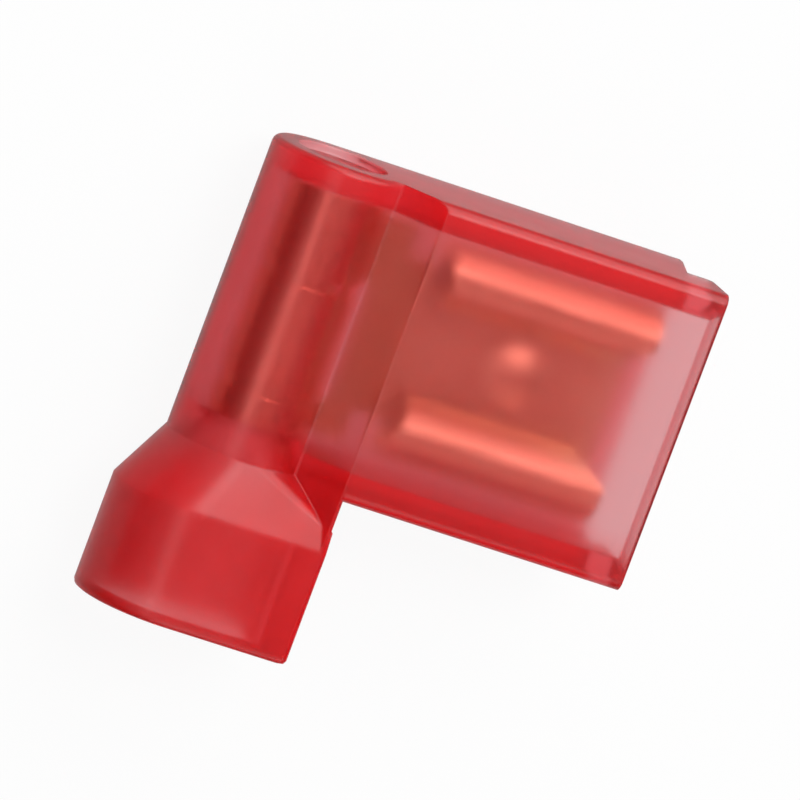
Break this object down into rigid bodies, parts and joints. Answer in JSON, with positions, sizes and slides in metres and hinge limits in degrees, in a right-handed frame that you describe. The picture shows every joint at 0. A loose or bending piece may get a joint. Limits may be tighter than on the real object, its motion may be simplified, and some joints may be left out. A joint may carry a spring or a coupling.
{
  "type": "insulated flag female spade connector",
  "caption": "Right-angle female spade connector with a brass receptacle inside a translucent red nylon housing.",
  "frame": {"origin": "centre of the wire barrel's mouth, where the stripped wire enters the brass", "axes": "+X the way the tab leaves the receptacle; +Y along the wire barrel to the closed end; +Z from the base plate to the curls"},
  "size_m": [0.0161, 0.0156, 0.0051],
  "materials": {
    "red_nylon": "translucent red nylon, semi-gloss",
    "brass": "satin stamped strip"
  },
  "bodies": {
    "root": {"housing": "red_nylon", "terminal": "brass"}
  },
  "joints": []
}
